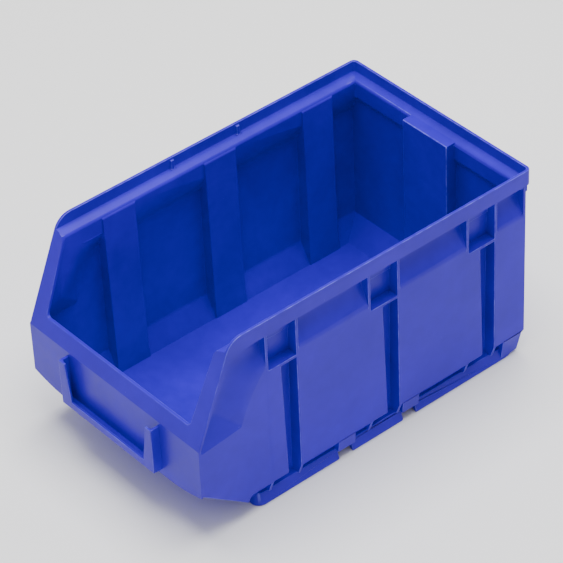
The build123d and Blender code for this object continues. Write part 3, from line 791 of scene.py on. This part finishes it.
def zones():
    """Rows of piece name, zone, sides and the CAD nodes it stands for, in the order they are cut off."""
    both, centre = (1, -1), (0,)
    rows = []
    for name, y in zip(("front", "rear"), PIP_Y):
        x0, x1 = LIP_X - PIP_DEPTH - 0.5, LIP_X
        section = [(x0, ledge_z(x0)), (x1, ledge_z(x1)), (x1, HEIGHT), (x0, HEIGHT)]
        rows.append(("stacking_pip_" + name, ("y", section, y - PIP_WIDTH, y + PIP_WIDTH), both))
    rows.append(("label_holder_side",
                 slab(HOLDER_Y - 1, FRONT_Y, HOLDER_LOW_Z - 1, HOLDER_TOP_Z + 1, HOLDER_LIP_LOW_X), both))
    rows.append(("label_holder_bottom", slab(HOLDER_Y - 1, FRONT_Y, HOLDER_LOW_Z - 1, HOLDER_TOP_Z + 1),
                 centre))
    inner_y = REAR_Y - WALL
    rows.append(("rear_rim_lip", slab(inner_y, REAR_Y + 1, HOOK_Z - 1, HEIGHT + 1), centre))
    rows.append(("rim_lip", slab(FRONT_Y - 9, inner_y, BAND_TOP_Z + 1.2, HEIGHT + 1, LIP_X), both))
    rows.append(("rear_rim_ledge", slab(REAR_POST_Y - 1, inner_y, BAND_TOP_Z, HEIGHT), centre))
    rows.append(("front_flange", ("x", flange_section(FOLD_Z, LEDGE_LIP_Z), FLANGE_LOW_X, FAR_X), both))
    rows.append(("front_lip", ("x", flange_section(FOLD_Z, LEDGE_LIP_Z), -FLANGE_LOW_X, FLANGE_LOW_X),
                 centre))
    rows.append(("rim_ledge", slab(FRONT_Y - 9, REAR_POST_Y, BAND_TOP_Z, HEIGHT, INSIDE_X), both))
    rows.append(("front_wall", slab(FRONT_Y - 9, FRONT_IN_Y + 0.5, 0.0, FOLD_Z + 1), centre))
    for name, y0, y1 in (("front", FOOT_FRONT_Y + FOOT_FRONT_RUN, PIP_Y[0]), ("middle", PIP_Y[0], PIP_Y[1]),
                         ("rear", PIP_Y[1], FOOT_REAR_Y - FOOT_REAR_RUN)):
        rows.append(("foot_rail_" + name, slab(y0, y1, -1, FLOOR_LOW_Z, FLOOR_X - 1), both))
    rows.append(("foot_front", slab(FOOT_FRONT_Y - 3, FOOT_FRONT_Y + FOOT_FRONT_RUN, -1, FLOOR_LOW_Z),
                 centre))
    rear_y = FOOT_REAR_Y - FOOT_REAR_RUN
    rows.append(("foot_rear", ("x", [(rear_y, -1), (125, -1), (125, UNDERCUT_Z), (REAR_WEB_IN_Y, UNDERCUT_Z),
                                     (REAR_WEB_IN_Y, FLOOR_LOW_Z), (rear_y, FLOOR_LOW_Z)],
                               -FOOT_X - 1, FOOT_X + 1), centre))
    for name, y in zip(("front", "middle", "rear"), POST_Y):
        y0, y1, cut = y - POST_HALF, y + POST_HALF, y + COVER_LOW + 0.4
        rows.append(("post_%s_face" % name,
                     slab(y0, y1, FLOOR_Z, BAND_TOP_Z, INSIDE_X, POST_LOW_X + POST_SKIN + 0.6), both))
        rows.append(("post_%s_front_rib" % name,
                     slab(y0, cut, FLOOR_LOW_Z, BAND_TOP_Z, POST_LOW_X + POST_SKIN), both))
        rows.append(("post_%s_rear_rib" % name,
                     slab(cut, y1, FLOOR_LOW_Z, BAND_TOP_Z, POST_LOW_X + POST_SKIN), both))
    crease = [(FRONT_IN_Y, FOLD_Z - 3.0), (CREASE_Y, FOLD_Z - 1.0), (-84.8, 76.0), (-79.5, 85.5),
              (-74.0, 93.0),
              (POST_Y[0] - POST_HALF, PANEL_TOP_Z - 1)]
    top = [(POST_Y[0] - POST_HALF, HEIGHT), (FRONT_IN_Y, HEIGHT)]
    rows.append(("front_shoulder", ("x", crease + top, INSIDE_X, FAR_X), both))
    rows.append(("front_corner_panel", slab(FRONT_IN_Y, POST_Y[0] - POST_HALF, 0, FOLD_Z + 40, FLOOR_X),
                 both))
    rise = REAR_POST_Y - 1 - REAR_FLOOR_Y + FLOOR_Z + 0.5
    run = REAR_OUT_Y - REAR_POST_Y + 1
    rows.append(("rear_post", ("x", [(REAR_POST_Y - 1, rise), (REAR_OUT_Y + 1, rise + run + 1),
                                     (REAR_OUT_Y + 1, BAND_TOP_Z), (REAR_POST_Y - 1, BAND_TOP_Z)],
                               -REAR_POST_HALF, REAR_POST_HALF), centre))
    rows.append(("rear_panel", slab(REAR_BAND_Y - 1.5, inner_y, REAR_RAMP_Z + 1, HEIGHT, REAR_POST_HALF),
                 both))
    rows.append(("rear_ramp", slab(REAR_FLOOR_Y, inner_y, 0, REAR_RAMP_Z + 1, -TOE_X, TOE_X), centre))
    for name, y0, y1 in (("front", POST_Y[0], POST_Y[1]), ("middle", POST_Y[1], POST_Y[2]),
                         ("rear", POST_Y[2], REAR_Y)):
        rows.append(("side_panel_" + name, slab(y0, y1, 0, HEIGHT, FLOOR_X), both))
    rows.append(("front_underside", slab(FRONT_Y, FLOOR_FRONT_Y, 0, HEIGHT), centre))
    rows.append(("floor_plate", slab(FLOOR_FRONT_Y, REAR_Y, 0, HEIGHT), centre))
    return rows


def copied(obj):
    return bpy.data.objects.new("copy", obj.data.copy())


def without_crumbs(obj):
    """Drops the specks that a cut along an existing face can leave beside a piece."""
    bm = bmesh.new()
    bm.from_mesh(obj.data)
    seen = set()
    for start in bm.verts:
        if start in seen:
            continue
        seen.add(start)
        part, front = [start], [start]
        while front:
            for edge in front.pop().link_edges:
                for v in edge.verts:
                    if v not in seen:
                        seen.add(v)
                        part.append(v)
                        front.append(v)
        size = [max(v.co[i] for v in part) - min(v.co[i] for v in part) for i in range(3)]
        if size[0] * size[1] * size[2] < CRUMB * MM ** 3 or min(size) < CRUMB_THICK * MM:
            bmesh.ops.delete(bm, geom=part, context="VERTS")
    bm.to_mesh(obj.data)
    bm.free()
    return obj


def divided(moulding):
    """Named pieces of the moulding, cut off it zone by zone."""
    pieces, rest = {}, moulding
    for name, zone, sides in zones():
        for side in sides:
            label = name + {1: "_right", -1: "_left", 0: ""}[side]
            pieces[label] = without_crumbs(boolean(copied(rest), [zone_solid(zone, side)], "INTERSECT"))
            rest = boolean(rest, [zone_solid(zone, side)], "DIFFERENCE")
    return pieces


# ---- surface finish --------------------------------------------------------------------------
def outward_turn(mesh):
    """How sharply the surface turns outwards at each point, 0 to 1, on the narrow faces of rounded edges."""
    bm = bmesh.new()
    bm.from_mesh(mesh)
    out = []
    for v in bm.verts:
        narrow = all(f.calc_area() < NARROW * MM * max(e.calc_length() for e in f.edges) for f in v.link_faces)
        turns = [math.degrees(e.calc_face_angle_signed(0)) for e in v.link_edges if e.is_manifold]
        turn = max([t for t in turns if t < TURN_MOST], default=0.0)
        out.append(min(1.0, max(0.0, (turn - TURN_FROM) / (TURN_FULL - TURN_FROM))) if narrow else 0.0)
    bm.free()
    return out


def store_wear_and_highlight(piece, whole, turns, tree):
    """Carries the outward turn of the whole moulding's points over to the points of one piece, as the mask of
    its rubbed edges and painted edge highlights.
    """
    points, polygons = whole.vertices, whole.polygons
    values = []
    for v in piece.data.vertices:
        place, _, index, _ = tree.find_nearest(v.co)
        ring = list(polygons[index].vertices)
        weights = poly_3d_calc([points[i].co for i in ring], place)
        values.append(sum(w * turns[i] for w, i in zip(weights, ring)))
    # mask of the pale rubbed edges, which also carry a painted highlight
    layer = piece.data.attributes.new("wear_and_highlight", "FLOAT", "POINT")
    layer.data.foreach_set("value", values)


def plastic():
    """Blue injection-moulded polypropylene: flow marks, fine grain, dust specks, and rubbed edges painted
    paler, partly worn and partly painted highlight.
    """
    mat = bpy.data.materials.new("blue_polypropylene_moulded")
    mat.use_nodes = True
    tree = mat.node_tree
    shader = tree.nodes["Principled BSDF"]
    shader.inputs["IOR"].default_value = IOR
    shader.inputs["Specular IOR Level"].default_value = SHEEN

    def node(kind, **values):
        made = tree.nodes.new(kind)
        for key, value in values.items():
            if key in made.inputs:
                made.inputs[key].default_value = value
            else:
                setattr(made, key, value)
        return made

    def link(a, out, b, into):
        tree.links.new(a.outputs[out], b.inputs[into])

    def ramp(stops):
        made = node("ShaderNodeValToRGB")
        band = made.color_ramp
        while len(band.elements) < len(stops):
            band.elements.new(0.5)
        for element, (at, colour) in zip(band.elements, stops):
            element.position = at
            element.color = (*colour, 1.0)
        return made

    place = node("ShaderNodeTexCoord")
    flow = node("ShaderNodeTexNoise", Scale=FLOW_SCALE, Detail=4.0, Roughness=0.55, Distortion=0.6)
    cloud = node("ShaderNodeTexNoise", Scale=CLOUD_SCALE, Detail=3.0)
    grain = node("ShaderNodeTexNoise", Scale=GRAIN_SCALE, Detail=2.0)
    speck = node("ShaderNodeTexVoronoi", Scale=SPECK_SCALE, Randomness=1.0)
    chosen = node("ShaderNodeTexNoise", Scale=CHOSEN_SCALE, Detail=1.0)
    for texture in (flow, cloud, grain, speck, chosen):
        link(place, "Object", texture, "Vector")
    # colour: slow variation of the pigment
    tint = ramp([(0.30, DEEP_BLUE), (0.52, MID_BLUE), (0.72, PALE_BLUE)])
    link(flow, "Fac", tint, "Fac")
    mottled = node("ShaderNodeMix", data_type="RGBA", blend_type="MULTIPLY")
    shade = ramp([(0.30, (0.90, 0.90, 0.93)), (0.70, (1.0, 1.0, 1.0))])
    link(cloud, "Fac", shade, "Fac")
    mottled.inputs["Factor"].default_value = 1.0
    tree.links.new(tint.outputs["Color"], mottled.inputs[6])
    tree.links.new(shade.outputs["Color"], mottled.inputs[7])
    # rubbed edges with painted highlight: paler colour where the outward turn of the surface is tight and the
    # patch noise is high, partly rubbing and partly painted highlight
    turn = node("ShaderNodeAttribute", attribute_name="wear_and_highlight")
    patch = node("ShaderNodeTexNoise", Scale=PATCH_SCALE, Detail=3.0)
    link(place, "Object", patch, "Vector")
    patchy = ramp([(0.36, (0.25, 0.25, 0.25)), (0.62, (1.0, 1.0, 1.0))])
    link(patch, "Fac", patchy, "Fac")
    rub_and_highlight = node("ShaderNodeMath", operation="MULTIPLY")
    tree.links.new(turn.outputs["Fac"], rub_and_highlight.inputs[0])
    tree.links.new(patchy.outputs["Color"], rub_and_highlight.inputs[1])
    rub_and_highlight_mix = ramp([(0.0, (0.0, 0.0, 0.0)), (1.0, (0.72, 0.72, 0.72))])
    link(rub_and_highlight, "Value", rub_and_highlight_mix, "Fac")
    # mix in the pale edge colour: rubbing plus painted edge highlight
    worn_and_highlit = node("ShaderNodeMix", data_type="RGBA")
    tree.links.new(rub_and_highlight_mix.outputs["Color"], worn_and_highlit.inputs["Factor"])
    tree.links.new(mottled.outputs[2], worn_and_highlit.inputs[6])
    pale_edge_and_speck_colour = ramp([(0.3, WEAR_AND_HIGHLIGHT_BLUE), (0.7, WEAR_AND_HIGHLIGHT_PALE)])
    link(cloud, "Fac", pale_edge_and_speck_colour, "Fac")
    tree.links.new(pale_edge_and_speck_colour.outputs["Color"], worn_and_highlit.inputs[7])
    # a few pale dust specks
    dot = ramp([(0.0, (1.0, 1.0, 1.0)), (0.055, (0.0, 0.0, 0.0))])
    link(speck, "Distance", dot, "Fac")
    few = ramp([(0.60, (0.0, 0.0, 0.0)), (0.66, (1.0, 1.0, 1.0))])
    link(chosen, "Fac", few, "Fac")
    dust = node("ShaderNodeMath", operation="MULTIPLY")
    tree.links.new(dot.outputs["Color"], dust.inputs[0])
    tree.links.new(few.outputs["Color"], dust.inputs[1])
    specked = node("ShaderNodeMix", data_type="RGBA")
    link(dust, "Value", specked, "Factor")
    tree.links.new(worn_and_highlit.outputs[2], specked.inputs[6])
    tree.links.new(pale_edge_and_speck_colour.outputs["Color"], specked.inputs[7])
    tree.links.new(specked.outputs[2], shader.inputs["Base Color"])
    # gloss: smoother and duller patches
    gloss = node("ShaderNodeMapRange")
    gloss.inputs["From Min"].default_value = 0.3
    gloss.inputs["From Max"].default_value = 0.7
    gloss.inputs["To Min"].default_value = GLOSS_LOW
    gloss.inputs["To Max"].default_value = GLOSS_HIGH
    link(cloud, "Fac", gloss, "Value")
    link(gloss, "Result", shader, "Roughness")
    # fine grain over very slight sinking of the surface
    fine = node("ShaderNodeBump", Strength=GRAIN_BUMP[0], Distance=GRAIN_BUMP[1])
    slow = node("ShaderNodeBump", Strength=FLOW_BUMP[0], Distance=FLOW_BUMP[1])
    link(grain, "Fac", fine, "Height")
    link(flow, "Fac", slow, "Height")
    link(slow, "Normal", fine, "Normal")
    link(fine, "Normal", shader, "Normal")
    return mat


def floor_material():
    mat = bpy.data.materials.new("pale_floor")
    mat.use_nodes = True
    shader = mat.node_tree.nodes["Principled BSDF"]
    shader.inputs["Base Color"].default_value = (FLOOR_GREY, FLOOR_GREY, FLOOR_GREY, 1)
    shader.inputs["Roughness"].default_value = FLOOR_ROUGH
    return mat


def area_light(name, place, target, size, power):
    light = bpy.data.lights.new(name, "AREA")
    light.shape = "RECTANGLE"
    light.size, light.size_y = size
    light.energy = power
    obj = bpy.data.objects.new(name, light)
    obj.location = place
    obj.rotation_euler = (Vector(target) - Vector(place)).to_track_quat("-Z", "Y").to_euler()
    bpy.context.scene.collection.objects.link(obj)


def studio():
    half = FLOOR_HALF
    floor = mesh_object("floor", [(-half, -half, 0), (half, -half, 0), (half, half, 0), (-half, half, 0)],
                        [[0, 1, 2, 3]])
    floor.location.z = -FLOOR_DROP
    floor.data.materials.append(floor_material())
    bpy.context.scene.collection.objects.link(floor)
    world = bpy.data.worlds.new("studio")
    bpy.context.scene.world = world
    world.use_nodes = True
    back = world.node_tree.nodes["Background"]
    back.inputs["Color"].default_value = (1.0, 1.0, 1.0, 1.0)
    back.inputs["Strength"].default_value = WORLD_LIGHT
    for row in LIGHTS:
        area_light(*row)


def camera():
    """Camera at the photograph's angle, looking at the middle of the bin."""
    azimuth, height, roll = (math.radians(v) for v in CAMERA_ANGLES)
    back = Vector((math.sin(azimuth) * math.cos(height), -math.cos(azimuth) * math.cos(height),
                   math.sin(height)))
    right = Vector((math.cos(azimuth), math.sin(azimuth), 0))
    up = back.cross(right)
    across = right * math.cos(roll) + up * math.sin(roll)
    upright = up * math.cos(roll) - right * math.sin(roll)
    place = Matrix((across, upright, back)).transposed().to_4x4()
    place.translation = Vector(CAMERA_TARGET) + back * CAMERA_DISTANCE
    cam = bpy.data.cameras.new("camera")
    cam.sensor_width = SENSOR
    cam.lens = CAMERA_LENS
    cam.shift_x, cam.shift_y = CAMERA_SHIFT
    cam.clip_start, cam.clip_end = CAMERA_CLIP
    obj = bpy.data.objects.new("camera", cam)
    obj.matrix_world = place
    bpy.context.scene.collection.objects.link(obj)
    bpy.context.scene.camera = obj


def build():
    moulding = with_round_edges(whole_bin())
    whole = moulding.data.copy()
    turns = outward_turn(whole)
    tree = BVHTree.FromPolygons([v.co for v in whole.vertices], [p.vertices for p in whole.polygons])
    pieces = divided(moulding)
    finish = plastic()
    for name, piece in pieces.items():
        mesh = piece.data
        cleaned(mesh, MERGE_PIECE)
        mesh.name = piece.name = "moulded_" + name
        for face in mesh.polygons:
            face.use_smooth = True
        mesh.set_sharp_from_angle(angle=math.radians(SHARP_ANGLE))
        # mask for rubbed edges with painted edge highlight
        store_wear_and_highlight(piece, whole, turns, tree)
        mesh.materials.clear()
        mesh.materials.append(finish)
        normals = piece.modifiers.new("normals", "WEIGHTED_NORMAL")
        normals.keep_sharp = True
        bpy.context.scene.collection.objects.link(piece)
        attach(piece, "root")
        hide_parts(name)


build()
studio()
camera()
bpy.context.view_layer.update()
